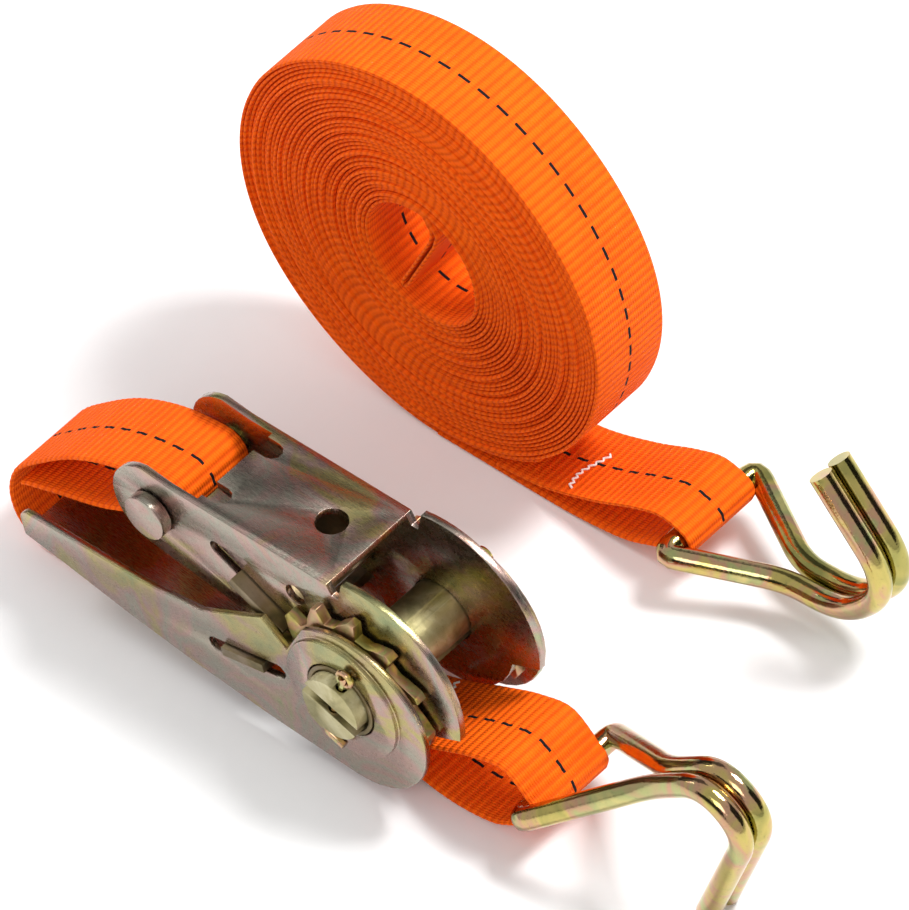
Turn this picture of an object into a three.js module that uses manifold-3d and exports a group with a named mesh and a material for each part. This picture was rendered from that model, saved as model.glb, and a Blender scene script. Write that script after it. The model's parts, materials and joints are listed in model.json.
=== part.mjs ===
// A 25 mm ratchet tie down in two halves: the ratchet buckle with its short strap and hook,
// and the long strap, rolled up, with the second hook. Millimetres, +Z up.
// +X runs from the strap pin to the winding shaft. The floor is z = 0 and y = 0 is the buckle's middle plane.
// The pieces are laid out with x = 0 at the winding shaft, and the finished group is moved so that the origin
// is under the handle, where the short strap lies flat.
import * as THREE from "three";
import { mergeVertices } from "three/addons/utils/BufferGeometryUtils.js";
import Module from "manifold-3d";

const wasm = await Module();
wasm.setup();

// ---- driving dimensions ----
const GAP = 0.3;
const STRAP_WIDTH = 25;
const STRAP_THICK = 1.2;
const HUB_Z = 31;
const SHAFT_X = 60;
const SHEET = 2;
const FRAME_HALF = STRAP_WIDTH / 2 + 2.9;
const HANDLE_HALF = FRAME_HALF + 6.5;
const WEB_TOP = 28;
const SHAFT_RADIUS = 8.8;
const SLOT_HALF = 1.6;
const SLOT_TILT = -19;
const TEETH = 12;
const TOOTH_PHASE = 143.6;
const TOOTH_TIP = 24;
const TOOTH_ROOT = 19.6;
const WHEEL_THICK = 3;
const WHEEL_OUT = HANDLE_HALF - SHEET - 0.7;
const PIN = [-66, 16];
const PIN_RADIUS = 4;
const PIN_EAR_RADIUS = 13.2;
const PAWL_THICK = 2.6;
const PRONG = 6;
const SPRING_RADIUS = 2.7;
const SPRING_WIRE = 0.45;
const WIRE_RADIUS = 3.1;
const ROLL_HALF_LENGTH = 58.2;
const ROLL_HALF_HEIGHT = 61;
const ROLL_HOLE = 16.4;
const ROLL_X = -59.4;
const ROLL_NEAR = 75;

// ---- finishes ----
const finish = (color, roughness, metalness) => new THREE.MeshStandardMaterial({ color, roughness, metalness });
const webbing = finish(0xff5a0a, 0.85, 0);
const zinc = finish(0x9c9468, 0.32, 0.9);
const darkZinc = finish(0x5c5238, 0.4, 0.9);
const hookZinc = finish(0x8c8050, 0.18, 0.95);
const springSteel = finish(0xb8b4a4, 0.3, 1);

const rad = (degrees) => (degrees * Math.PI) / 180;
const polar = (radius, degrees, centre = [0, 0]) => [
  centre[0] + radius * Math.cos(rad(degrees)),
  centre[1] + radius * Math.sin(rad(degrees)),
];

// ---- solids ----
function toSolid(geometry) {
  const bare = geometry.clone();
  bare.deleteAttribute("normal");
  bare.deleteAttribute("uv");
  const merged = mergeVertices(bare, 1e-3);
  return new wasm.Manifold(
    new wasm.Mesh({
      numProp: 3,
      vertProperties: merged.attributes.position.array,
      triVerts: new Uint32Array(merged.index.array),
    }),
  );
}

function toGeometry(solid) {
  const mesh = solid.getMesh();
  const geometry = new THREE.BufferGeometry();
  geometry.setAttribute("position", new THREE.BufferAttribute(mesh.vertProperties, 3));
  geometry.setIndex(new THREE.BufferAttribute(mesh.triVerts, 1));
  geometry.computeVertexNormals();
  return geometry;
}

const root = new THREE.Group();
function add(name, geometry, material) {
  const mesh = new THREE.Mesh(geometry.isBufferGeometry ? geometry : toGeometry(geometry), material);
  mesh.name = name;
  root.add(mesh);
}

// ---- outlines, in (x, z) ----
const outline = (points) => new THREE.Shape(points.map(([x, z]) => new THREE.Vector2(x, z)));

function arc(centre, radius, from, to, steps) {
  return Array.from({ length: steps + 1 }, (_, i) => polar(radius, from + ((to - from) * i) / steps, centre));
}

const disc = (radius, centre = [0, 0], steps = 36) =>
  outline(arc(centre, radius, 0, 360 - 360 / steps, steps - 1));

// A rounded bar of the given length and width, centred at a point and tilted by some degrees.
function bar(centre, length, width, tilt, steps = 5) {
  const half = length / 2 - width / 2;
  const right = polar(half, tilt, centre);
  const left = polar(-half, tilt, centre);
  return outline([
    ...arc(right, width / 2, tilt - 90, tilt + 90, steps),
    ...arc(left, width / 2, tilt + 90, tilt + 270, steps),
  ]);
}

function box2(centre, length, width, tilt) {
  const corners = [
    [1, -1],
    [1, 1],
    [-1, 1],
    [-1, -1],
  ];
  const [c, s] = [Math.cos(rad(tilt)), Math.sin(rad(tilt))];
  return outline(
    corners.map(([u, v]) => {
      const [a, b] = [(u * length) / 2, (v * width) / 2];
      return [centre[0] + a * c - b * s, centre[1] + a * s + b * c];
    }),
  );
}

// A flat plate standing in the x-z plane, from y = low to y = high, with its outline measured from the hub.
function upright(shape, low, high, originZ = HUB_Z) {
  const geometry = new THREE.ExtrudeGeometry(shape, { depth: high - low, bevelEnabled: false, curveSegments: 8 });
  return geometry.rotateX(Math.PI / 2).translate(0, high, originZ);
}

const plate = (shape, low, high, originZ) => toSolid(upright(shape, low, high, originZ));

// A flat plate lying in the x-y plane, from z = low to z = high above the floor.
function level(shape, low, high) {
  const geometry = new THREE.ExtrudeGeometry(shape, { depth: high - low, bevelEnabled: false, curveSegments: 8 });
  return toSolid(geometry.translate(0, 0, low));
}

// The outline of a band of the given thickness that follows a smooth centre line of (x, z) points.
function bandEdges(points, thickness, steps) {
  const line = new THREE.CatmullRomCurve3(points.map(([x, z]) => new THREE.Vector3(x, z, 0)), false, "centripetal");
  const left = [];
  const right = [];
  for (let i = 0; i <= steps; i++) {
    const p = line.getPointAt(i / steps);
    const t = line.getTangentAt(i / steps);
    left.push([p.x - (t.y * thickness) / 2, p.y + (t.x * thickness) / 2]);
    right.push([p.x + (t.y * thickness) / 2, p.y - (t.x * thickness) / 2]);
  }
  return [left, right];
}

function band(points, thickness, steps) {
  const [left, right] = bandEdges(points, thickness, steps);
  return outline([...right, ...left.reverse()]);
}

// ---- wires ----
// A round wire through the corners of a bent rod; each corner is turned on an arc-like fillet.
function wire(corners, fillets, radius, sides, steps) {
  const path = new THREE.CurvePath();
  const at = corners.map((c) => new THREE.Vector3(...c));
  let from = at[0];
  for (let i = 1; i < at.length - 1; i++) {
    const back = at[i - 1].clone().sub(at[i]).setLength(fillets[i - 1]).add(at[i]);
    const on = at[i + 1].clone().sub(at[i]).setLength(fillets[i - 1]).add(at[i]);
    path.add(new THREE.LineCurve3(from, back));
    path.add(new THREE.QuadraticBezierCurve3(back, at[i], on));
    from = on;
  }
  path.add(new THREE.LineCurve3(from, at[at.length - 1]));
  const smooth = new THREE.CatmullRomCurve3(path.getSpacedPoints(steps), false, "centripetal");
  return new THREE.ExtrudeGeometry(disc(radius, [0, 0], sides), {
    steps,
    bevelEnabled: false,
    extrudePath: smooth,
  });
}

// A double-J hook: one wire, mirrored about the middle plane, from tip to tip through the cross bar.
function doubleHook(side, fillets, middleY, steps) {
  const near = side.map(([x, y, z]) => [x, middleY - y, z]);
  const far = side.map(([x, y, z]) => [x, middleY + y, z]).reverse();
  return wire([...near, ...far], [...fillets, ...[...fillets].reverse()], WIRE_RADIUS, 10, steps);
}

// A pawl's return spring: a coil along its slot's line, from one distance to another from the slot's middle.
function coil(slot, from, to, turns) {
  const points = [];
  const perTurn = 12;
  const length = to - from;
  const centre = polar((from + to) / 2, slot.tilt, slot.centre);
  const [ux, uz] = polar(1, slot.tilt);
  for (let i = 0; i <= turns * perTurn; i++) {
    const along = (i / (turns * perTurn) - 0.5) * length;
    const angle = (i / perTurn) * 2 * Math.PI;
    const across = SPRING_RADIUS * Math.cos(angle);
    points.push(
      new THREE.Vector3(
        centre[0] + along * ux - across * uz,
        SPRING_RADIUS * Math.sin(angle),
        HUB_Z + centre[1] + along * uz + across * ux,
      ),
    );
  }
  return new THREE.ExtrudeGeometry(disc(SPRING_WIRE, [0, 0], 6), {
    steps: turns * perTurn,
    bevelEnabled: false,
    extrudePath: new THREE.CatmullRomCurve3(points),
  });
}

// ---- the buckle's base frame: a pressed channel, web on top, with pin ears and winding ears ----
const EAR_CENTRE = [3, 3.5];
const EAR_RADIUS = 28.4;
const LOCK_SLOT = { centre: [-34, 10.6], length: 30, width: 4.2, tilt: -27 };
const WEB_X = [-52, -9];
const NOTCH = { length: 13, width: 5.4, y: 9.2, x: -52 };

function frameWall() {
  return outline([
    ...arc(PIN, PIN_EAR_RADIUS, 250, 100, 14),
    [WEB_X[0] - 8, WEB_TOP],
    [WEB_X[1], WEB_TOP],
    [WEB_X[1] + 1.5, WEB_TOP - 3],
    [WEB_X[1] + 3.6, WEB_TOP - 3],
    ...arc(EAR_CENTRE, EAR_RADIUS, 104, -8, 18),
    [26.5, -2.6],
    ...arc([0, 0], 22.5, -12, -172, 14),
    [-40, -0.5],
  ]);
}

function baseFrame() {
  const wall = (side) =>
    plate(frameWall(), side > 0 ? FRAME_HALF - SHEET : -FRAME_HALF, side > 0 ? FRAME_HALF : SHEET - FRAME_HALF);
  const webY = FRAME_HALF - SHEET / 2;
  const web = level(
    outline([
      [WEB_X[0], -webY],
      [WEB_X[1], -webY],
      [WEB_X[1], webY],
      [WEB_X[0], webY],
    ]),
    HUB_Z + WEB_TOP - SHEET,
    HUB_Z + WEB_TOP,
  );
  const tab = plate(box2(polar(-17.9, LOCK_SLOT.tilt, LOCK_SLOT.centre), 1.6, 17, LOCK_SLOT.tilt), -5, 5);
  let body = wall(1).add(wall(-1)).add(web).add(tab);
  for (const side of [1, -1]) {
    body = body.subtract(level(bar([NOTCH.x, side * NOTCH.y], NOTCH.length, NOTCH.width, 0), HUB_Z, HUB_Z + 40));
  }
  body = body.subtract(level(disc(4.25, [-21.5, 0.8], 24), HUB_Z, HUB_Z + 40));
  const through = [-HANDLE_HALF, HANDLE_HALF];
  body = body.subtract(plate(disc(SHAFT_RADIUS + GAP), ...through));
  body = body.subtract(plate(disc(PIN_RADIUS + GAP, PIN, 24), ...through));
  body = body.subtract(plate(disc(3, [-20, 17], 20), ...through));
  body = body.subtract(plate(bar(LOCK_SLOT.centre, LOCK_SLOT.length, LOCK_SLOT.width, LOCK_SLOT.tilt), ...through));
  return body;
}

// ---- the handle: a wider channel below, its ears outside the toothed wheels ----
const BOSS_RADIUS = 17.4;
const BOSS_HOLE = 10.6;
const BOSS_RISE = 1.5;
const DRIVE_SLOT = { centre: [-32.5, -8.4], length: 26, width: 4.2, tilt: 12 };

function handleWall() {
  return outline([
    [-106, -13.6],
    [-94, -15.6],
    [-72, -19.8],
    [-51, -22.9],
    [-26, -25.4],
    ...arc([2, -3.5], 23.5, -94, 128, 22),
    [-18.5, 4],
    [-26, 10.5],
    [-31, 7.4],
    [-47, -1.4],
    [-63, -4],
    [-103, -5.2],
    ...arc([-104, -8.2], 3, 80, 180, 5),
  ]);
}

// The handle's web follows the walls' lower edge from the grip's end to the clearance before the ears.
function handleFrame() {
  const wall = (side) =>
    plate(handleWall(), side > 0 ? HANDLE_HALF - SHEET : -HANDLE_HALF, side > 0 ? HANDLE_HALF : SHEET - HANDLE_HALF);
  const webY = HANDLE_HALF - SHEET / 2;
  const web = plate(
    outline([
      [-106, -13.6],
      [-94, -15.6],
      [-72, -19.8],
      [-51, -22.9],
      [-36, -24.4],
      [-36, SHEET - 24.4],
      [-51, SHEET - 22.9],
      [-72, SHEET - 19.8],
      [-94, SHEET - 15.6],
      [-105.6, SHEET - 13.6],
    ]),
    -webY,
    webY,
  );
  const tab = plate(
    outline([
      [-51, SHEET / 2 - 22.9],
      [-49.4, SHEET / 2 - 22.9],
      [-49.4, -7],
      [-51, -7],
    ]),
    -5,
    5,
  );
  let body = wall(1).add(wall(-1)).add(web).add(tab);
  for (const side of [1, -1]) {
    const face = side * (HANDLE_HALF - 0.5);
    const rim = side * (HANDLE_HALF + BOSS_RISE);
    body = body.add(plate(disc(BOSS_RADIUS), Math.min(face, rim), Math.max(face, rim)));
  }
  const through = [-HANDLE_HALF - 9, HANDLE_HALF + 9];
  body = body.subtract(plate(disc(BOSS_HOLE), ...through));
  body = body.subtract(plate(bar(DRIVE_SLOT.centre, DRIVE_SLOT.length, DRIVE_SLOT.width, DRIVE_SLOT.tilt), ...through));
  return body;
}

// ---- pawls: a plate across the channel, in its two slots, with a prong for its spring ----
function pawl(slot, reach, length, halfWidth) {
  const { tilt } = slot;
  const tip = polar(reach, tilt, slot.centre);
  const middle = polar(-length / 2, tilt, tip);
  const blade = plate(box2(middle, length, PAWL_THICK, tilt), -halfWidth, halfWidth);
  const prong = plate(box2(polar(-length - PRONG / 2 + 1, tilt, tip), PRONG, 2, tilt), -1.8, 1.8);
  return blade.add(prong);
}

// ---- the toothed wheel: hooked teeth, keyed on the two half-round shafts ----
function wheel(low, high) {
  const pitch = 360 / TEETH;
  const points = [];
  for (let i = 0; i < TEETH; i++) {
    const start = TOOTH_PHASE + i * pitch;
    points.push(polar(TOOTH_TIP, start));
    points.push(polar(TOOTH_TIP, start + 0.16 * pitch));
    points.push(polar(TOOTH_ROOT + 1.6, start + 0.45 * pitch));
    points.push(polar(TOOTH_ROOT, start + 0.62 * pitch));
    points.push(polar(TOOTH_ROOT, start + 0.94 * pitch));
  }
  let body = plate(outline(points), low, high);
  for (const half of [1, -1]) {
    body = body.subtract(plate(halfMoon(SHAFT_RADIUS + GAP, SLOT_HALF - GAP, half), low - 1, high + 1));
  }
  return body;
}

// A half-round section on one side of the shaft's slot.
function halfMoon(radius, slotHalf, half) {
  const edge = THREE.MathUtils.radToDeg(Math.asin(slotHalf / radius));
  const turn = half > 0 ? SLOT_TILT : SLOT_TILT + 180;
  return outline(arc([0, 0], radius, turn + edge, turn + 180 - edge, 16));
}

const SHAFT_END = HANDLE_HALF + 5.4;
const SPLIT_PIN_Y = HANDLE_HALF + 3.3;
const SPLIT_PIN_RADIUS = 1.2;

function shaftHalf(half) {
  const body = plate(halfMoon(SHAFT_RADIUS, SLOT_HALF, half), -SHAFT_END, SHAFT_END);
  const across = SLOT_TILT + 90;
  let drilled = body;
  for (const side of [1, -1]) {
    const hole = new THREE.CylinderGeometry(SPLIT_PIN_RADIUS + GAP, SPLIT_PIN_RADIUS + GAP, 40, 12);
    hole.rotateX(Math.PI / 2).rotateY(rad(90 - across)).translate(0, side * SPLIT_PIN_Y, HUB_Z);
    drilled = drilled.subtract(toSolid(hole));
  }
  return drilled;
}

// A split pin: a round eye, two legs through the shaft halves as one stem, and the ends bent over.
function splitPin(side) {
  const across = SLOT_TILT + 90;
  const place = (along, aside) => {
    const [x, z] = polar(along, across);
    const [dx, dz] = polar(aside, across - 90);
    return [x + dx, side * SPLIT_PIN_Y, HUB_Z + z + dz];
  };
  const corners = [place(12.6, -0.6), place(12, 0), place(-12, 0), place(-12, 6)];
  const stem = toSolid(wire(corners, [0.4, 1.6], SPLIT_PIN_RADIUS, 8, 26));
  const eye = new THREE.TorusGeometry(2, 0.8, 8, 16);
  const [x, z] = polar(12.6, across);
  eye.rotateX(Math.PI / 2).translate(x, side * SPLIT_PIN_Y, HUB_Z + z);
  return stem.add(toSolid(eye));
}

function washer(outer, inner, low, high) {
  const shape = disc(outer);
  shape.holes.push(disc(inner));
  return upright(shape, low, high);
}

// ---- strap pin: a headed pin, with a push-on ring at its far end ----
function strapPin() {
  const end = FRAME_HALF + 3.2;
  const shaft = plate(disc(PIN_RADIUS, PIN, 28), -FRAME_HALF - 1, end);
  return shaft.add(plate(disc(6.2, PIN, 32), -FRAME_HALF - 3.6, -FRAME_HALF - 0.3));
}

function pinRing() {
  const shape = disc(7, PIN, 28);
  shape.holes.push(disc(PIN_RADIUS + GAP, PIN, 28));
  return upright(shape, FRAME_HALF + 0.4, FRAME_HALF + 2);
}

// ---- the short strap: a loop on the strap pin, folded round the grip and back along the floor ----
const STRAP_Y = [-STRAP_WIDTH / 2, STRAP_WIDTH / 2];
const LOOP_Y = [1 - STRAP_WIDTH / 2, STRAP_WIDTH / 2 - 1];

function pinLoop() {
  const centreLine = [
    ...arc([PIN[0], PIN[1] + HUB_Z], PIN_RADIUS + GAP + STRAP_THICK, -90, 90, 6),
    [-80, 50.2],
    [-95, 43.5],
    [-108, 33.5],
    [-116.4, 25.4],
    [-117.8, 22.8],
    [-115.8, 21.2],
    [-104, 25.4],
    [-88, 31],
    [-74, 38.2],
  ];
  const line = new THREE.CatmullRomCurve3(centreLine.map(([x, z]) => new THREE.Vector3(x, z, 0)), true, "centripetal");
  const edge = (offset) => {
    const points = [];
    const steps = 64;
    for (let i = 0; i < steps; i++) {
      const p = line.getPointAt(i / steps);
      const t = line.getTangentAt(i / steps);
      points.push([p.x + t.y * offset, p.y - t.x * offset]);
    }
    return points;
  };
  const shape = outline(edge(STRAP_THICK / 2));
  shape.holes.push(outline(edge(-STRAP_THICK / 2)));
  return upright(shape, ...STRAP_Y, 0);
}

function underStrap() {
  const low = STRAP_THICK / 2;
  return upright(
    band(
      [
        [-119.4, 18.6],
        [-120, 13],
        [-118.4, 6.5],
        [-113, 2],
        [-105, low + 0.05],
        [-95, low],
        [-65, low],
        [-40, low],
        [-26, 1.3],
        [-12, 4],
        [-1.5, 6.5],
      ],
      STRAP_THICK,
      44,
    ),
    ...STRAP_Y,
    0,
  );
}

// A sewn loop round a hook's cross bar, both plies meeting at the stitching.
function sewnLoop(upper, bar, lower, steps) {
  const wrap = arc(bar, WIRE_RADIUS + STRAP_THICK / 2 + 0.8, 40, -60, 4);
  return upright(band([...upper, ...wrap, ...lower], STRAP_THICK, steps), ...LOOP_Y, 0);
}

function shortLoop() {
  const upper = [
    [0, 7.3],
    [8, 11],
    [20, 17.5],
    [32, 23],
    [42, 25.4],
    [49.4, 21.8],
  ];
  const lower = [
    [44, 6.2],
    [37, 2.4],
    [29, 0.9],
    [20, 0.9],
    [10, 2.6],
    [0, 5.8],
  ];
  return sewnLoop(upper, SHORT_HOOK.bar, lower, 64).translate(0, SHORT_HOOK.middle - 0.4, 0);
}

// ---- hooks: corner points (x, half spread, z) from a prong's tip to the cross bar's end ----
const SPREAD = STRAP_WIDTH / 2 + 5.2;
const CLOSE = WIRE_RADIUS + 0.25;
const SHORT_HOOK = {
  bar: [48, 14],
  middle: 2,
  side: [
    [95, CLOSE, 1.8],
    [110, CLOSE, 39],
    [97, CLOSE, 48.5],
    [80, CLOSE, 36.2],
    [48, SPREAD, 14],
  ],
  fillets: [8.5, 8, 6, 3.8],
};
const LONG_HOOK = {
  bar: [19.5, 14.6],
  middle: ROLL_NEAR + STRAP_WIDTH / 2,
  side: [
    [61, CLOSE, 58.5],
    [82, CLOSE, 31],
    [66, CLOSE, 12.5],
    [46.6, CLOSE, 11.2],
    [19.5, SPREAD, 14.6],
  ],
  fillets: [13, 10, 6, 3.8],
};

// ---- the long strap: a roll standing on edge, wound double from the fold in its hole ----
function strapRoll() {
  const shape = disc(ROLL_HALF_LENGTH, [0, 0], 72);
  const fold = 1.9;
  for (const side of [1, -1]) {
    const edge = THREE.MathUtils.radToDeg(Math.asin(fold / ROLL_HOLE));
    const turn = side > 0 ? 62 : 242;
    shape.holes.push(outline(arc([0, 0], ROLL_HOLE, turn + edge, turn + 180 - edge, 18)));
  }
  const geometry = upright(shape, ROLL_NEAR, ROLL_NEAR + STRAP_WIDTH, 0);
  return geometry.scale(1, 1, ROLL_HALF_HEIGHT / ROLL_HALF_LENGTH).translate(ROLL_X, 0, ROLL_HALF_HEIGHT + 0.1);
}

function strapTail() {
  const upper = [
    [-40, 2.1],
    [-25, 4.2],
    [-8, 10.6],
    [6, 17.4],
    [15, 20.4],
    [21.6, 19.4],
  ];
  const lower = [
    [14.5, 8.2],
    [2, 3.2],
    [-14, 0.9],
    [-40, 0.7],
  ];
  return sewnLoop(upper, LONG_HOOK.bar, lower, 64).translate(0, LONG_HOOK.middle, 0);
}

// ---- assembly ----
add("base_frame", baseFrame(), zinc);
add("strap_pin", strapPin(), zinc);
add("strap_pin_ring", pinRing(), springSteel);
add("short_strap_pin_loop", pinLoop(), webbing);
add("short_strap_run", underStrap(), webbing);
add("short_strap_hook_loop", shortLoop(), webbing);
add("short_strap_hook", doubleHook(SHORT_HOOK.side, SHORT_HOOK.fillets, SHORT_HOOK.middle, 84), hookZinc);

add("handle_frame", handleFrame(), zinc);
add("drive_pawl", pawl(DRIVE_SLOT, 6.6, 14, HANDLE_HALF + 1.2), darkZinc);
add("drive_pawl_spring", coil(DRIVE_SLOT, -16, -8, 6), springSteel);

add("lock_pawl", pawl(LOCK_SLOT, 13.2, 18, WHEEL_OUT), darkZinc);
add("lock_pawl_spring", coil(LOCK_SLOT, -16.2, -5.6, 7), springSteel);

add("winding_shaft_upper", shaftHalf(1), zinc);
add("winding_shaft_lower", shaftHalf(-1), zinc);
for (const [place, side] of [
  ["near", -1],
  ["far", 1],
]) {
  const wheelY = [side * WHEEL_OUT, side * (WHEEL_OUT - WHEEL_THICK)].sort((a, b) => a - b);
  add(`ratchet_wheel_${place}`, wheel(...wheelY), zinc);
  const spacerY = [side * (HANDLE_HALF - SHEET + 0.3), side * (HANDLE_HALF + BOSS_RISE + 0.3)].sort((a, b) => a - b);
  add(`hub_bush_${place}`, washer(BOSS_HOLE - GAP, SHAFT_RADIUS + GAP, ...spacerY), darkZinc);
  add(`split_pin_${place}`, splitPin(side), springSteel);
}

add("long_strap_roll", strapRoll(), webbing);
add("long_strap_tail", strapTail(), webbing);
add("long_strap_hook", doubleHook(LONG_HOOK.side, LONG_HOOK.fillets, LONG_HOOK.middle, 84), hookZinc);

root.position.x = SHAFT_X;
export default root;
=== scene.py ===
import json
import math

import bmesh
import bpy
from mathutils import Matrix, Vector


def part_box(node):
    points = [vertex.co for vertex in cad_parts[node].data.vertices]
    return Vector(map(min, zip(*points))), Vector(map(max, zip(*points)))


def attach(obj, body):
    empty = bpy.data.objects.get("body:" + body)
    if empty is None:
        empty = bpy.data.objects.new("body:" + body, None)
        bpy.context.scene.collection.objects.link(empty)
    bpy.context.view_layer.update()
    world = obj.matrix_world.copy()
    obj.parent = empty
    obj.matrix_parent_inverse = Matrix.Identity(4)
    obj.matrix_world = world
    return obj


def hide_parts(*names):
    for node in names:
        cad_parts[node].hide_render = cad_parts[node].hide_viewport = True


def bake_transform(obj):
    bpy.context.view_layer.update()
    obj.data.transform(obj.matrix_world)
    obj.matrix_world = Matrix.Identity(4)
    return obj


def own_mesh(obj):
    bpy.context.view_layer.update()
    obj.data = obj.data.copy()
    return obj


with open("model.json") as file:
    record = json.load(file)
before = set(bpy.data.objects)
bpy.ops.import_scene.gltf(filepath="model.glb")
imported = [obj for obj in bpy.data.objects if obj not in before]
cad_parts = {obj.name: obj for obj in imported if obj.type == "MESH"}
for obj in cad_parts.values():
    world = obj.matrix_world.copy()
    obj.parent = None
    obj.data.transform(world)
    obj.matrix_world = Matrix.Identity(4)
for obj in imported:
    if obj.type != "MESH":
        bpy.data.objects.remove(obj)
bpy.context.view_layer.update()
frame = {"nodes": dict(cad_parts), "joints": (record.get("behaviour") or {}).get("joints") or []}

# ---- places, in millimetres from the winding shaft's middle, with z from the floor ----
joints = {joint["name"]: joint for joint in frame["joints"]}
hub = Vector(joints["winding_shaft_spin"]["pos_m"])
MM = 0.001


def at(x, y, z):
    return Vector((hub.x + x * MM, y * MM, z * MM))


def local(point):
    """A point of the frame as millimetres (x, y, z) from the winding shaft."""
    return Vector(((point[0] - hub.x) / MM, point[1] / MM, point[2] / MM))


def middle_of(node):
    low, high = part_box(node)
    return local((low + high) / 2)


pin = middle_of("strap_pin")
roll = middle_of("long_strap_roll")
roll_low, roll_high = (local(corner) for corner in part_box("long_strap_roll"))
short_bar = local(joints["short_hook_swing"]["pos_m"])
long_bar = local(joints["long_hook_swing"]["pos_m"])

# ---- camera: high, in front of the hooks, turned a little clockwise ----
TARGET = at(-21, 43.3, 46.1)
CAMERA_RIGHT = Vector((0.747, 0.661, -0.072)).normalized()
CAMERA_BACK = Vector((0.4895, -0.4733, 0.734)).normalized()
CAMERA_DISTANCE = 3.4
FOCAL_SHARE = 0.16436
camera_up = CAMERA_BACK.cross(CAMERA_RIGHT).normalized()
turn = Matrix((CAMERA_RIGHT, camera_up, CAMERA_BACK)).transposed().to_4x4()
camera = bpy.data.objects.new("camera", bpy.data.cameras.new("camera"))
camera.matrix_world = Matrix.Translation(TARGET + CAMERA_BACK * CAMERA_DISTANCE) @ turn
camera.data.lens = FOCAL_SHARE * CAMERA_DISTANCE / MM
camera.data.sensor_width = 36
camera.data.sensor_fit = "HORIZONTAL"
camera.data.clip_end = 20
bpy.context.scene.collection.objects.link(camera)
bpy.context.scene.camera = camera


# ---- materials ----
class Nodes:
    """A material's node tree, with short ways to add and join nodes."""

    def __init__(self, name):
        self.material = bpy.data.materials.new(name)
        self.material.use_nodes = True
        self.tree = self.material.node_tree
        self.shader = self.tree.nodes["Principled BSDF"]

    def set(self, **values):
        for name, value in values.items():
            self.shader.inputs[name.replace("_", " ")].default_value = value

    def node(self, kind, inputs=None, **settings):
        made = self.tree.nodes.new(kind)
        for name, value in settings.items():
            setattr(made, name, value)
        for name, value in (inputs or {}).items():
            if isinstance(value, bpy.types.NodeSocket):
                self.tree.links.new(value, made.inputs[name])
            else:
                made.inputs[name].default_value = value
        return made

    def math(self, operation, a, b=0.0):
        return self.node("ShaderNodeMath", {0: a, 1: b}, operation=operation).outputs[0]

    def noise(self, place, scale, detail=4, rough=0.6, distortion=0.0):
        inputs = {
            "Vector": place,
            "Scale": scale,
            "Detail": detail,
            "Roughness": rough,
            "Distortion": distortion,
        }
        return self.node("ShaderNodeTexNoise", inputs).outputs["Fac"]

    def spread(self, value, low, high, new_low, new_high):
        """The value, with low..high stretched to new_low..new_high."""
        made = self.node("ShaderNodeMapRange", {0: value, 1: low, 2: high, 3: new_low, 4: new_high})
        return made.outputs[0]

    def ramp(self, value, stops):
        made = self.node("ShaderNodeValToRGB", {"Fac": value})
        elements = made.color_ramp.elements
        while len(elements) < len(stops):
            elements.new(0.5)
        for element, (place, colour) in zip(elements, stops):
            element.position = place
            element.color = (*colour, 1)
        return made.outputs["Color"]

    def mix(self, share, a, b, blend="MIX"):
        made = self.node("ShaderNodeMix", data_type="RGBA", blend_type=blend)
        for socket, value in ((made.inputs[0], share), (made.inputs[6], a), (made.inputs[7], b)):
            if isinstance(value, bpy.types.NodeSocket):
                self.tree.links.new(value, socket)
            else:
                socket.default_value = value if not isinstance(value, tuple) else (*value, 1)
        return made.outputs[2]

    def stretched(self, place, x, y, z):
        return self.node("ShaderNodeMapping", {"Vector": place, "Scale": (x, y, z)}).outputs[0]

    def bump(self, height, strength, distance):
        made = self.node("ShaderNodeBump", {"Height": height, "Strength": strength, "Distance": distance})
        self.tree.links.new(made.outputs["Normal"], self.shader.inputs["Normal"])

    def link(self, value, socket):
        self.tree.links.new(value, self.shader.inputs[socket])


def passivated(name, stops, rough=(0.2, 0.42), patch=70, scratch=0.35):
    """Yellow-passivated zinc: a coloured film in patches, rubbed streaks, fine scratches and a little dirt."""
    made = Nodes(name)
    place = made.node("ShaderNodeTexCoord").outputs["Object"]
    patches = made.noise(place, patch, 3, 0.55, 0.8)
    film = made.ramp(patches, stops)
    streaks = made.noise(made.stretched(place, 1, 14, 1), 160, 5, 0.7)
    film = made.mix(made.math("MULTIPLY", streaks, 0.3), film, (0.62, 0.58, 0.46), "MULTIPLY")
    specks = made.noise(place, 1400, 2, 0.5)
    dirt = made.ramp(specks, [(0.62, (0, 0, 0)), (0.74, (1, 1, 1))])
    made.link(made.mix(made.math("MULTIPLY", dirt, 0.3), film, (0.12, 0.10, 0.07)), "Base Color")
    worn = made.noise(made.stretched(place, 1.5, 22, 2.5), 240, 4, 0.75)
    made.link(made.spread(worn, 0.3, 0.7, *rough), "Roughness")
    scratches = made.noise(made.stretched(place, 3, 60, 8), 420, 4, 0.7)
    grain = made.noise(place, 900, 3, 0.6)
    made.bump(made.math("ADD", made.math("MULTIPLY", scratches, scratch), grain), 0.22, 0.0002)
    made.set(Metallic=1.0)
    return made.material


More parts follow.
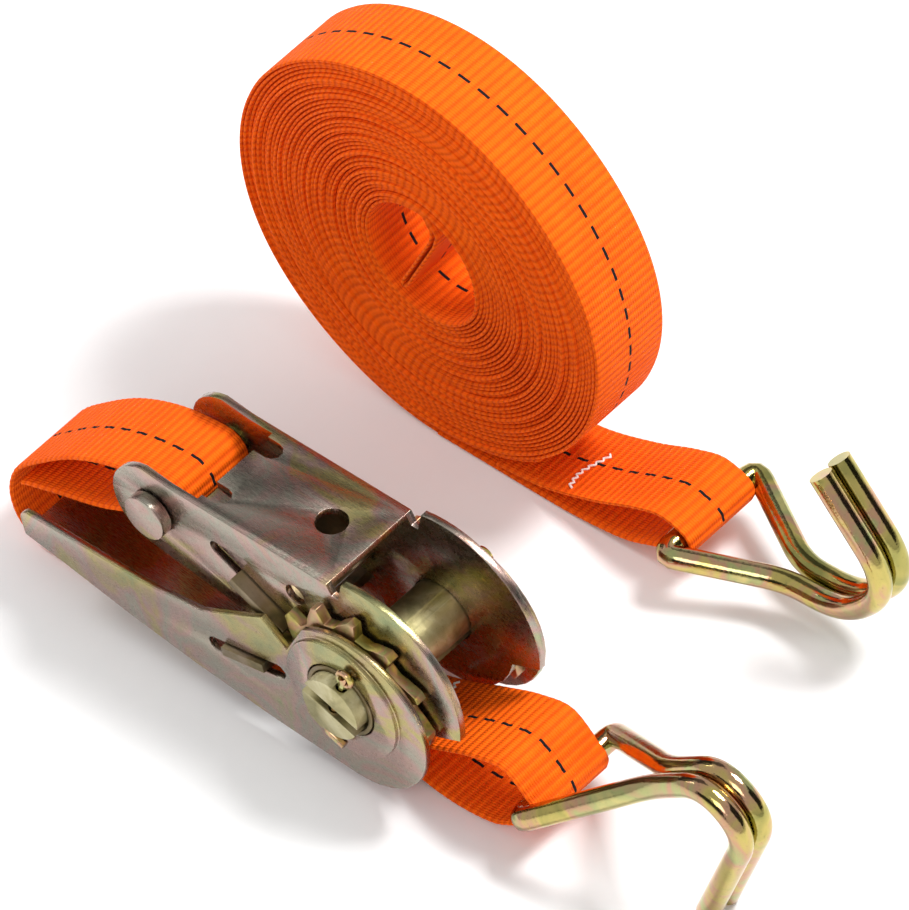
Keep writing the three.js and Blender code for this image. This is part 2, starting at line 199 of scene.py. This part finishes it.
SHEET_FILM = [
    (0.30, (0.27, 0.31, 0.16)),
    (0.41, (0.43, 0.36, 0.16)),
    (0.48, (0.44, 0.29, 0.26)),
    (0.55, (0.36, 0.34, 0.28)),
    (0.62, (0.46, 0.31, 0.28)),
    (0.72, (0.33, 0.38, 0.21)),
]
HOOK_FILM = [
    (0.30, (0.30, 0.29, 0.09)),
    (0.42, (0.54, 0.44, 0.14)),
    (0.51, (0.54, 0.31, 0.20)),
    (0.60, (0.40, 0.42, 0.18)),
    (0.72, (0.64, 0.54, 0.22)),
]
SHAFT_FILM = [
    (0.30, (0.30, 0.27, 0.13)),
    (0.50, (0.46, 0.41, 0.22)),
    (0.70, (0.62, 0.57, 0.36)),
]
DARK_FILM = [
    (0.30, (0.10, 0.09, 0.05)),
    (0.50, (0.22, 0.17, 0.09)),
    (0.70, (0.28, 0.22, 0.15)),
]
STEEL_FILM = [
    (0.30, (0.38, 0.37, 0.33)),
    (0.70, (0.60, 0.58, 0.52)),
]
sheet_zinc = passivated("sheet_zinc", SHEET_FILM, (0.2, 0.34), 40)
shaft_zinc = passivated("shaft_zinc", SHAFT_FILM, (0.3, 0.55), 120, 1.6)
wheel_zinc = passivated("wheel_zinc", HOOK_FILM, (0.25, 0.5), 110)
dark_zinc = passivated("dark_zinc", DARK_FILM, (0.3, 0.55), 130)
hook_zinc = passivated("hook_zinc", HOOK_FILM, (0.05, 0.13), 60, 0.1)
spring_steel = passivated("spring_steel", STEEL_FILM, (0.22, 0.4), 200)

WEBBING_RIB = 2.4
WARP_PITCH = 0.75
DASH_PITCH = 6.2
DASH_SHARE = 0.6
DASH_HALF_WIDTH = 0.42


def webbing_material():
    """Orange polyester: ribs across with painted shade in their troughs, a dashed dark middle thread and a
    fine weave. UV is in metres.
    """
    made = Nodes("orange_webbing")
    uv = made.node("ShaderNodeUVMap", uv_map="strap").outputs[0]
    split = made.node("ShaderNodeSeparateXYZ", {0: uv})
    across, along = split.outputs[0], split.outputs[1]
    place = made.node("ShaderNodeTexCoord").outputs["Object"]
    rib = made.math("SINE", made.math("MULTIPLY", along, 2 * math.pi / (WEBBING_RIB * MM)))
    warp = made.math("SINE", made.math("MULTIPLY", across, 2 * math.pi / (WARP_PITCH * MM)))
    fuzz = made.noise(place, 2600, 3, 0.7)
    shade = made.noise(place, 130, 4, 0.6)
    base = made.ramp(shade, [(0.3, (0.90, 0.100, 0.001)), (0.7, (1.0, 0.135, 0.002))])
    # Painted shade: the colour darkens towards a deep red in the troughs between the ribs.
    painted_groove_shade = made.spread(rib, -1.0, 0.1, 0.6, 0.0)
    colour = made.mix(painted_groove_shade, base, (0.55, 0.030, 0.0008))
    colour = made.mix(made.math("MULTIPLY", fuzz, 0.25), colour, (1.0, 0.20, 0.006))
    in_dash = made.math("FRACT", made.math("DIVIDE", along, DASH_PITCH * MM))
    dash = made.math("LESS_THAN", in_dash, DASH_SHARE)
    narrow = made.math("LESS_THAN", made.math("ABSOLUTE", across), DASH_HALF_WIDTH * MM)
    thread = made.math("MULTIPLY", dash, narrow)
    made.link(made.mix(thread, colour, (0.012, 0.010, 0.010)), "Base Color")
    made.link(made.spread(fuzz, 0.2, 0.8, 0.62, 0.9), "Roughness")
    relief = made.math("ADD", made.math("MULTIPLY", rib, 0.8), made.math("MULTIPLY", warp, 0.35))
    made.bump(made.math("ADD", relief, made.math("MULTIPLY", fuzz, 0.7)), 0.75, 0.0003)
    made.set(Specular_IOR_Level=0.12)
    return made.material


def plain_material(name, colour, rough, scale):
    """A dull material with two sizes of mottling and a fine bump."""
    made = Nodes(name)
    place = made.node("ShaderNodeTexCoord").outputs["Object"]
    broad = made.noise(place, scale, 4, 0.6)
    fine = made.noise(place, scale * 9, 3, 0.7)
    darker = tuple(part * 0.93 for part in colour)
    made.link(made.mix(made.math("MULTIPLY", broad, fine), colour, darker), "Base Color")
    made.bump(fine, 0.1, 0.0002)
    made.set(Roughness=rough)
    return made.material


webbing = webbing_material()
white_thread = plain_material("white_thread", (0.86, 0.84, 0.80), 0.7, 700)
floor_paint = plain_material("floor_paint", (0.86, 0.86, 0.86), 0.75, 9)


# ---- meshes ----
def new_object(name, mesh, material):
    mesh.materials.clear()
    mesh.materials.append(material)
    made = bpy.data.objects.new(name, mesh)
    bpy.context.scene.collection.objects.link(made)
    return made


def smooth_line(points, spacing):
    """Points at an even spacing along a smooth curve through the given ones (centripetal Catmull-Rom)."""
    points = [Vector(p) for p in points]
    points = [points[0] * 2 - points[1]] + points + [points[-1] * 2 - points[-2]]
    dense = []
    for p0, p1, p2, p3 in zip(points, points[1:], points[2:], points[3:]):
        t1 = max((p1 - p0).length, 1e-6) ** 0.5
        t2 = t1 + max((p2 - p1).length, 1e-6) ** 0.5
        t3 = t2 + max((p3 - p2).length, 1e-6) ** 0.5
        count = max(2, math.ceil((p2 - p1).length / spacing * 3))
        for i in range(count):
            t = t1 + (t2 - t1) * i / count
            a1 = p0 * ((t1 - t) / t1) + p1 * (t / t1)
            a2 = p1 * ((t2 - t) / (t2 - t1)) + p2 * ((t - t1) / (t2 - t1))
            a3 = p2 * ((t3 - t) / (t3 - t2)) + p3 * ((t - t2) / (t3 - t2))
            b1 = a1 * ((t2 - t) / t2) + a2 * (t / t2)
            b2 = a2 * ((t3 - t) / (t3 - t1)) + a3 * ((t - t1) / (t3 - t1))
            dense.append(b1 * ((t2 - t) / (t2 - t1)) + b2 * ((t - t1) / (t2 - t1)))
    dense.append(points[-2])
    return resample(dense, spacing)


def resample(dense, spacing):
    lengths = [0.0]
    for a, b in zip(dense, dense[1:]):
        lengths.append(lengths[-1] + (b - a).length)
    count = max(2, round(lengths[-1] / spacing))
    even = []
    k = 0
    for i in range(count + 1):
        want = lengths[-1] * i / count
        while k < len(dense) - 2 and lengths[k + 1] < want:
            k += 1
        share = (want - lengths[k]) / max(lengths[k + 1] - lengths[k], 1e-9)
        even.append(dense[k].lerp(dense[k + 1], share))
    return even


def arc(centre, radius, start, end, steps):
    angles = [math.radians(start + (end - start) * i / steps) for i in range(steps + 1)]
    return [(centre[0] + radius * math.cos(a), centre[1] + radius * math.sin(a)) for a in angles]


ACROSS = (-0.5, -0.47, -0.25, -0.04, 0.04, 0.25, 0.47, 0.5)
EDGE_THICKNESS = 0.45


def ribbon(name, line, middle, width, thickness, rib=0.0, aside=lambda length: 0.0):
    """A woven strap along an (x, z) line in millimetres, its width across y, with ribs on both faces."""
    mesh = bpy.data.meshes.new(name)
    build = bmesh.new()
    uv = build.loops.layers.uv.new("strap")
    rings = []
    places = []
    length = 0.0
    for i, point in enumerate(line):
        before = line[max(i - 1, 0)]
        after = line[min(i + 1, len(line) - 1)]
        tangent = (after - before).normalized()
        normal = Vector((-tangent.y, tangent.x))
        if i:
            length += (point - line[i - 1]).length
        half = thickness / 2 + rib * math.cos(2 * math.pi * length / WEBBING_RIB)
        ring = []
        for side, shares in ((1, ACROSS), (-1, ACROSS[::-1])):
            for share in shares:
                lift = half * (EDGE_THICKNESS if abs(share) == 0.5 else 1.0) * side
                y = middle + share * width + aside(length)
                ring.append(build.verts.new(at(point.x + normal.x * lift, y, point.y + normal.y * lift)))
                places.append((share * width * MM, length * MM))
        rings.append(ring)
    sides = len(rings[0])
    build.verts.index_update()
    for first, second in zip(rings, rings[1:]):
        for k in range(sides):
            build.faces.new((first[k], first[(k + 1) % sides], second[(k + 1) % sides], second[k]))
    build.faces.new(rings[0][::-1])
    build.faces.new(rings[-1])
    bmesh.ops.recalc_face_normals(build, faces=build.faces)
    for face in build.faces:
        face.smooth = True
        for loop in face.loops:
            loop[uv].uv = places[loop.vert.index]
    build.to_mesh(mesh)
    build.free()
    return new_object(name, mesh, webbing)


def tube(name, line, radius, sides, material):
    """A round wire through 3-D points in millimetres, with flat ends."""
    mesh = bpy.data.meshes.new(name)
    build = bmesh.new()
    rings = []
    side_axis = None
    for i, point in enumerate(line):
        before = line[max(i - 1, 0)]
        after = line[min(i + 1, len(line) - 1)]
        tangent = (after - before).normalized()
        if side_axis is None:
            side_axis = tangent.orthogonal().normalized()
        side_axis = (side_axis - tangent * side_axis.dot(tangent)).normalized()
        other = tangent.cross(side_axis)
        ring = []
        for k in range(sides):
            angle = 2 * math.pi * k / sides
            offset = (side_axis * math.cos(angle) + other * math.sin(angle)) * radius
            ring.append(build.verts.new(at(*(point + offset))))
        rings.append(ring)
    for first, second in zip(rings, rings[1:]):
        for k in range(sides):
            build.faces.new((first[k], first[(k + 1) % sides], second[(k + 1) % sides], second[k]))
    build.faces.new(rings[0][::-1])
    build.faces.new(rings[-1])
    bmesh.ops.recalc_face_normals(build, faces=build.faces)
    for face in build.faces:
        face.smooth = len(face.verts) == 4
    build.to_mesh(mesh)
    build.free()
    return new_object(name, mesh, material)


def refined(node, name, material, body, edge=0.3):
    """A copy of a CAD node with its flat faces joined, its corners rounded and its curves shaded smooth."""
    mesh = frame["nodes"][node].data.copy()
    build = bmesh.new()
    build.from_mesh(mesh)
    bmesh.ops.remove_doubles(build, verts=build.verts, dist=1e-6)
    bmesh.ops.dissolve_limit(build, angle_limit=math.radians(2), verts=build.verts, edges=build.edges)
    for face in build.faces:
        face.smooth = True
    build.to_mesh(mesh)
    build.free()
    piece = new_object(name, mesh, material)
    bevel = piece.modifiers.new("edges", "BEVEL")
    bevel.width = edge * MM
    bevel.segments = 2
    bevel.limit_method = "ANGLE"
    bevel.angle_limit = math.radians(38)
    bevel.harden_normals = True
    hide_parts(node)
    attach(piece, body)
    return piece


# ---- sheet metal, wheels, shaft and pins ----
for node, name, material, body, slot_name, edge in (
    ("base_frame", "base_channel", sheet_zinc, "frame", "passivated_sheet", 0.35),
    ("strap_pin", "strap_pin_headed", sheet_zinc, "frame", "passivated_shaft", 0.4),
    ("strap_pin_ring", "strap_pin_push_ring", dark_zinc, "frame", "passivated_shaft", 0.25),
    ("handle_frame", "handle_channel", sheet_zinc, "handle", "passivated_sheet", 0.35),
    ("drive_pawl", "drive_pawl_plate", dark_zinc, "drive_pawl", "dark_pawl", 0.3),
    ("lock_pawl", "lock_pawl_plate", dark_zinc, "lock_pawl", "dark_pawl", 0.3),
    ("winding_shaft_upper", "shaft_half_upper", shaft_zinc, "winding_shaft", "passivated_shaft", 0.35),
    ("winding_shaft_lower", "shaft_half_lower", shaft_zinc, "winding_shaft", "passivated_shaft", 0.35),
    ("ratchet_wheel_near", "toothed_wheel_near", wheel_zinc, "winding_shaft", "passivated_wheel", 0.25),
    ("ratchet_wheel_far", "toothed_wheel_far", wheel_zinc, "winding_shaft", "passivated_wheel", 0.25),
    ("hub_bush_near", "bush_near", dark_zinc, "winding_shaft", "dark_pawl", 0.2),
    ("hub_bush_far", "bush_far", dark_zinc, "winding_shaft", "dark_pawl", 0.2),
    ("split_pin_near", "cotter_near", hook_zinc, "winding_shaft", "spring_steel", 0.15),
    ("split_pin_far", "cotter_far", hook_zinc, "winding_shaft", "spring_steel", 0.15),
):
    refined(node, name, material, body, edge)


# ---- hooks: a round wire bent at corner points, from one prong to the other ----
WIRE_RADIUS = 3.1
SPREAD = 17.7
CLOSE = WIRE_RADIUS + 0.25


def filleted(corners, fillets, spacing):
    """The corner points joined by straight lines and rounded turns."""
    corners = [Vector(c) for c in corners]
    dense = [corners[0]]
    for before, corner, after, fillet in zip(corners, corners[1:], corners[2:], fillets):
        start = corner + (before - corner).normalized() * fillet
        end = corner + (after - corner).normalized() * fillet
        dense.append(start)
        for i in range(1, 13):
            t = i / 12
            dense.append(start * (1 - t) ** 2 + corner * 2 * t * (1 - t) + end * t * t)
    dense.append(corners[-1])
    return resample(dense, spacing)


def double_hook(node, name, body, side, fillets, middle):
    near = [(x, middle - y, z) for x, y, z in side]
    far = [(x, middle + y, z) for x, y, z in reversed(side)]
    line = filleted(near + far, fillets + fillets[::-1], 1.3)
    piece = tube(name, line, WIRE_RADIUS, 28, hook_zinc)
    bevel = piece.modifiers.new("tips", "BEVEL")
    bevel.width = 1.1 * MM
    bevel.segments = 4
    bevel.limit_method = "ANGLE"
    bevel.angle_limit = math.radians(60)
    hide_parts(node)
    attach(piece, body)


double_hook(
    "short_strap_hook",
    "double_hook_short",
    "short_hook",
    [
        (95, CLOSE, 1.8),
        (110, CLOSE, 39),
        (97, CLOSE, 48.5),
        (80, CLOSE, 36.2),
        (short_bar.x, SPREAD, short_bar.z),
    ],
    [8.5, 8, 6, 3.8],
    short_bar.y,
)
double_hook(
    "long_strap_hook",
    "double_hook_long",
    "long_hook",
    [
        (61, CLOSE, 58.5),
        (82, CLOSE, 31),
        (66, CLOSE, 12.5),
        (46.6, CLOSE, 11.2),
        (long_bar.x, SPREAD, long_bar.z),
    ],
    [13, 10, 6, 3.8],
    long_bar.y,
)


# ---- pawl springs ----
COIL_TURNS = 8
COIL_SIDES = 20


def spring(node, name, body, joint, wide=2.7, wire=0.45):
    """A coil along its pawl's line, in the place of the CAD one."""
    low, high = (local(corner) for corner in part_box(node))
    axis = Vector(joints[joint]["axis"])
    if axis.x < 0:
        axis = -axis
    centre = (low + high) / 2
    length = (high.x - low.x - 2 * wide * abs(axis.z)) / axis.x
    across = axis.cross(Vector((0, 1, 0))).normalized()
    sideways = Vector((0, 1, 0))
    steps = COIL_TURNS * COIL_SIDES
    line = []
    for i in range(steps + 1):
        angle = 2 * math.pi * i / COIL_SIDES
        along = axis * (i / steps - 0.5) * (length - 1)
        line.append(centre + along + sideways * math.sin(angle) * wide + across * math.cos(angle) * wide)
    piece = tube(name, line, wire, 10, spring_steel)
    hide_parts(node)
    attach(piece, body)
    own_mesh(piece)


spring("lock_pawl_spring", "lock_pawl_coil", "frame", "lock_pawl_slide")
spring("drive_pawl_spring", "drive_pawl_coil", "handle", "drive_pawl_slide")

# ---- short strap: round the pin, folded at the grip, back along the floor and round the hook's bar ----
STRAP = 25
THICK = 1.15
PIN_WRAP_RADIUS = 5.5
BAR_WRAP_RADIUS = WIRE_RADIUS + 1.1
STRAP_SPACING = 0.6
RIB = 0.11
inner_ply = [
    (-115.6, 21),
    (-113, 22.2),
    (-104, 25.4),
    (-88, 31),
    (-74, 38.2),
]
round_pin = arc((pin.x, pin.z), PIN_WRAP_RADIUS, -90, 90, 8)
outer_ply = [
    (-80, 50.2),
    (-95, 43.5),
    (-108, 33.5),
    (-116.6, 25),
    (-119.4, 18.6),
    (-119.8, 12.5),
    (-117.8, 6.4),
    (-112.6, 2.2),
    (-105, 0.9),
    (-95, 0.75),
    (-65, 0.75),
    (-40, 0.8),
    (-26, 1.6),
    (-12, 4.6),
    (0, 8),
    (8, 11.4),
    (20, 17.5),
    (32, 23),
    (42, 25),
]
wrap = arc((short_bar.x, short_bar.z), BAR_WRAP_RADIUS, 60, -70, 5)
under_ply = [
    (42, 5.6),
    (37, 2.8),
    (29, 1.2),
    (20, 1.2),
    (10, 3.4),
    (2, 6.6),
    (-6, 4.9),
]


short_line = smooth_line(inner_ply + round_pin + outer_ply + wrap + under_ply, STRAP_SPACING)
short_strap = ribbon("short_strap_webbing", short_line, 0, STRAP, THICK, RIB)
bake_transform(short_strap)
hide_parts("short_strap_run", "short_strap_hook_loop", "short_strap_pin_loop")

# ---- long strap: wound double from the fold in the roll's hole, and out to its hook ----
HOLE = 16.4
TURNS = 18
FOLD_ANGLE = 62
LAYER_THICK = 0.98
ROLL_WIDTH = STRAP - 0.8
ROLL_SPACING = 1.6
ROLL_STEPS_PER_TURN = 120
outer_radius = (roll_high.x - roll_low.x) / 2 + 0.5
oval = (roll_high.z - roll_low.z) / (roll_high.x - roll_low.x)
turned = TURNS + (270 - FOLD_ANGLE) / 360
first_radius = HOLE + LAYER_THICK / 2
layer = (outer_radius - first_radius) / (2 * turned + 1)
roll_middle = Vector((roll.x, outer_radius * oval + LAYER_THICK / 2 + 0.1))


def spiral(offset, begin, end):
    """Points of one ply of the roll, with the roll's slight unevenness, begin and end in turns."""
    points = []
    steps = round((end - begin) * ROLL_STEPS_PER_TURN)
    for i in range(steps + 1):
        turns = begin + (end - begin) * i / steps
        angle = math.radians(FOLD_ANGLE) + turns * 2 * math.pi
        radius = first_radius + layer * (2 * turns + offset)
        share = turns / turned
        radius *= 1 - share * 0.004 * (1 + math.sin(3 * angle + 1.1)) / 2
        points.append(roll_middle + Vector((radius * math.cos(angle), radius * math.sin(angle) * oval)))
    return points


def fold_point(along, aside):
    direction = Vector((math.cos(math.radians(FOLD_ANGLE)), math.sin(math.radians(FOLD_ANGLE))))
    left = Vector((-direction.y, direction.x))
    return roll_middle + direction * along + left * aside


inner = spiral(0, 0.055, turned + 0.1)[::-1]
outer = spiral(1, 0.05, turned)
crossing = [
    fold_point(13.4, 1.6),
    fold_point(9, 0.8),
    fold_point(-9, 0.8),
    fold_point(-14.2, 0.9),
    fold_point(-15.6, 0),
    fold_point(-14.2, -0.9),
    fold_point(-9, -0.8),
    fold_point(9, -0.8),
    fold_point(14.6, 0.1),
]
LONG_MIDDLE = long_bar.y
long_wrap = arc((long_bar.x, long_bar.z), BAR_WRAP_RADIUS, -70, 60, 5)
tail = [
    (-40, 0.8),
    (-26, 0.8),
    (-14, 1.2),
    (2, 3.6),
    (13, 8.2),
]
back = [
    (14.6, 20.2),
    (6, 17.4),
    (-8, 10.6),
    (-25, 4.4),
    (-40, 2.4),
]
roll_line = resample(inner + crossing + outer, ROLL_SPACING)
tail_line = smooth_line([tuple(outer[-1])] + tail + long_wrap + back, STRAP_SPACING)


def uneven(length):
    """How far the roll's layers stand out of line across y, in millimetres."""
    return 0.32 * math.sin(length / 37) + 0.24 * math.sin(length / 91 + 1) + 0.16 * math.sin(length / 13)


roll_strap = ribbon("long_strap_wound", roll_line, LONG_MIDDLE, ROLL_WIDTH, LAYER_THICK, 0, uneven)
tail_strap = ribbon("long_strap_end", tail_line, LONG_MIDDLE, ROLL_WIDTH, LAYER_THICK, RIB)
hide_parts("long_strap_roll")
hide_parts("long_strap_tail")
for piece, line, held in ((roll_strap, roll_line, "folded"), (tail_strap, tail_line, "laid")):
    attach(piece, "long_strap")


# ---- sewing ----
def sewn_row(name, line, place, first_y, last_y, lift, body):
    """A zigzag of white thread across a strap, at the place on its line nearest to an (x, z) point."""
    nearest = min(range(len(line) - 1), key=lambda k: (line[k] - Vector(place)).length)
    tangent = (line[nearest + 1] - line[nearest]).normalized()
    normal = Vector((-tangent.y, tangent.x))
    count = 15
    points = []
    for i in range(count + 1):
        share = i / count
        sweep = 1.6 * math.sin(share * 4.4)
        point = line[nearest] + normal * lift + tangent * (sweep + (0.7 if i % 2 else -0.7))
        points.append(Vector((point.x, first_y + (last_y - first_y) * share, point.y)))
    piece = tube(name, resample(points, 0.5), 0.3, 8, white_thread)
    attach(piece, body)


LIFT = THICK / 2 + RIB
sewn_row("short_strap_sewing", short_line, (7, 11), -5, 11, LIFT, "short_strap")
sewn_row("long_strap_sewing", tail_line, (-17, 7.4), LONG_MIDDLE - 10, LONG_MIDDLE + 4, -LIFT, "long_strap")

# ---- floor and light ----
bpy.context.scene.view_settings.view_transform = "Standard"


def rectangle(wide, tall):
    """Corners, edges and faces of a flat rectangle round the origin."""
    x, y = wide / 2, tall / 2
    return [(-x, -y, 0), (x, -y, 0), (x, y, 0), (-x, y, 0)], [], [(0, 1, 2, 3)]


floor_mesh = bpy.data.meshes.new("floor")
FLOOR = 4
floor_mesh.from_pydata(*rectangle(2 * FLOOR, 2 * FLOOR))
floor = new_object("floor", floor_mesh, floor_paint)

world = bpy.data.worlds.new("studio")
world.use_nodes = True
bpy.context.scene.world = world
world.node_tree.nodes["Background"].inputs["Color"].default_value = (1.0, 1.0, 1.0, 1)
world.node_tree.nodes["Background"].inputs["Strength"].default_value = 0.68


def card(name, place, wide, tall, shade):
    """A flat card beside the object, out of the camera's sight, that the metal reflects."""
    mesh = bpy.data.meshes.new(name)
    mesh.from_pydata(*rectangle(wide, tall))
    made = new_object(name, mesh, plain_material(name + "_paint", (shade, shade, shade), 0.9, 5))
    made.location = place
    made.rotation_euler = (Vector(place) - TARGET).to_track_quat("Z", "Y").to_euler()
    made.visible_camera = False
    made.visible_shadow = False
    made.visible_diffuse = False


card("card_left", (-0.55, 0.1, 0.35), 0.5, 0.5, 0.01)
card("card_right", (0.6, 0.35, 0.3), 0.5, 0.45, 0.01)
card("card_front", (0.1, -0.6, 0.25), 0.6, 0.3, 0.01)
card("card_above", (-0.3, 0.37, 0.56), 0.42, 0.42, 0.10)


def area_light(name, place, size, power, colour=(1, 1, 1)):
    lamp = bpy.data.lights.new(name, "AREA")
    lamp.size = size
    lamp.energy = power
    lamp.color = colour
    made = bpy.data.objects.new(name, lamp)
    made.location = place
    made.rotation_euler = (Vector(place) - TARGET).to_track_quat("Z", "Y").to_euler()
    bpy.context.scene.collection.objects.link(made)


area_light("key", (0.35, 0.45, 0.9), 0.3, 11)
area_light("fill", (0.5, -0.7, 0.8), 0.5, 2.5)
area_light("left", (-0.8, -0.1, 0.7), 0.3, 3)
